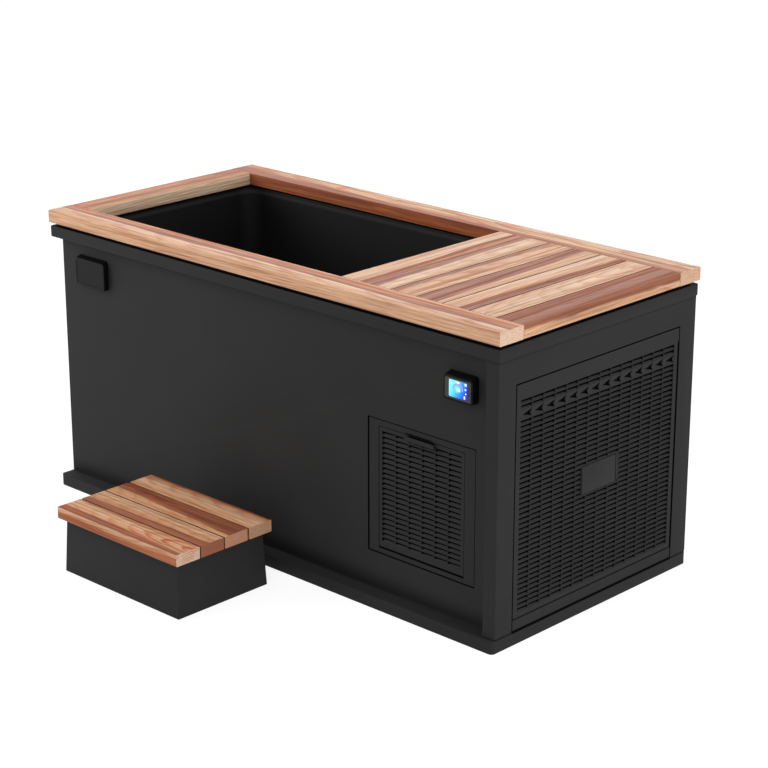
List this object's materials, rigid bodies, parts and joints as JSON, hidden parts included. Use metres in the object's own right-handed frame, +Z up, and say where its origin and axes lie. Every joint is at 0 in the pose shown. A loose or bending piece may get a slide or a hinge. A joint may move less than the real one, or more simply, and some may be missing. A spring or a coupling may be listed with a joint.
{
  "type": "cold plunge tub",
  "caption": "Cold plunge tub with a charcoal moulded shell, black basin, cedar rim and lift-out deck, louvred filter door and end panel, control display, and a matching step.",
  "frame": {"origin": "on the floor under the middle of the tub", "axes": "+X towards the equipment end, -Y out of the front, +Z up"},
  "size_m": [1.76, 1.2491, 0.864],
  "materials": {
    "shell": "fine textured charcoal",
    "basin": "satin black",
    "black_plastic": "black",
    "bezel": "grey",
    "screen": "lit blue",
    "cedar": "clear oiled",
    "foam": "rigid foam",
    "galvanised": "galvanised",
    "aluminium": "mill",
    "copper": "drawn copper",
    "hose": "black",
    "white_plastic": "moulded",
    "filter_media": "pleated",
    "red_plastic": "moulded"
  },
  "bodies": {
    "tub": {"base_plinth": "shell", "outer_shell": "shell", "inner_basin": "basin", "foam_jacket": "foam", "bulkhead": "black_plastic", "top_spacer": "black_plastic", "front_rail": "cedar", "back_rail": "cedar", "left_rail": "cedar", "screen_housing": "black_plastic", "screen_bezel": "bezel", "screen_glass": "screen", "front_badge": "black_plastic", "door_frame": "shell", "end_panel_frame": "shell", "chiller_tray": "galvanised", "compressor": "black_plastic", "condenser_coil": "aluminium", "fan_shroud": "galvanised", "fan_motor": "galvanised", "heat_exchanger": "white_plastic", "discharge_line": "copper", "liquid_line": "copper", "suction_line": "copper", "filter_housing": "white_plastic", "pump_volute": "black_plastic", "pump_motor": "galvanised", "suction_fitting": "black_plastic", "return_fitting": "black_plastic", "suction_hose": "hose", "pump_feed_hose": "hose", "exchanger_hose": "hose", "return_hose": "hose", "drain_valve": "white_plastic", "control_box": "black_plastic", "power_inlet": "black_plastic"},
    "deck": {"deck_board_1": "cedar", "deck_board_2": "cedar", "deck_board_3": "cedar", "deck_board_4": "cedar", "deck_board_5": "cedar", "deck_board_6": "cedar", "deck_board_7": "cedar", "deck_batten_front": "cedar", "deck_batten_back": "cedar"},
    "door": {"filter_door": "shell", "door_pull": "shell"},
    "end_cover": {"end_panel": "shell", "end_panel_badge": "shell"},
    "fan": {"fan_blades": "black_plastic"},
    "filter_core": {"filter_cartridge": "filter_media"},
    "lid": {"filter_lid": "black_plastic"},
    "lever": {"drain_lever": "red_plastic"},
    "step": {"step_box": "shell", "step_tread_1": "cedar", "step_tread_2": "cedar", "step_tread_3": "cedar", "step_tread_4": "cedar", "step_cleat_left": "cedar", "step_cleat_right": "cedar"}
  },
  "joints": [
    {"name": "deck_lift", "type": "slide", "parent": "tub", "child": "deck", "axis": [0, 0, 1], "range_m": [0, 0.25]},
    {"name": "filter_door_hinge", "type": "hinge", "parent": "tub", "child": "door", "pos_m": [0.584, -0.3657, 0.167], "axis": [1, 0, 0], "range_deg": [0, 90]},
    {"name": "end_panel_pull", "type": "slide", "parent": "tub", "child": "end_cover", "axis": [1, 0, 0], "range_m": [0, 0.2]},
    {"name": "fan_spin", "type": "hinge", "parent": "tub", "child": "fan", "pos_m": [0.7534, 0.1525, 0.2376], "axis": [1, 0, 0], "continuous": true},
    {"name": "filter_core_lift", "type": "slide", "parent": "tub", "child": "filter_core", "axis": [0, 0, 1], "range_m": [0, 0.31]},
    {"name": "filter_lid_turn", "type": "hinge", "parent": "filter_core", "child": "lid", "pos_m": [0.4501, -0.217, 0.39], "axis": [0, 0, 1], "range_deg": [0, 60]},
    {"name": "drain_lever_turn", "type": "hinge", "parent": "tub", "child": "lever", "pos_m": [0.3521, -0.097, 0.12], "axis": [0, 0, 1], "range_deg": [0, 90]},
    {"name": "step_slide", "type": "slide", "parent": "tub", "child": "step", "axis": [0, -1, 0], "range_m": [0, 0.5]}
  ]
}
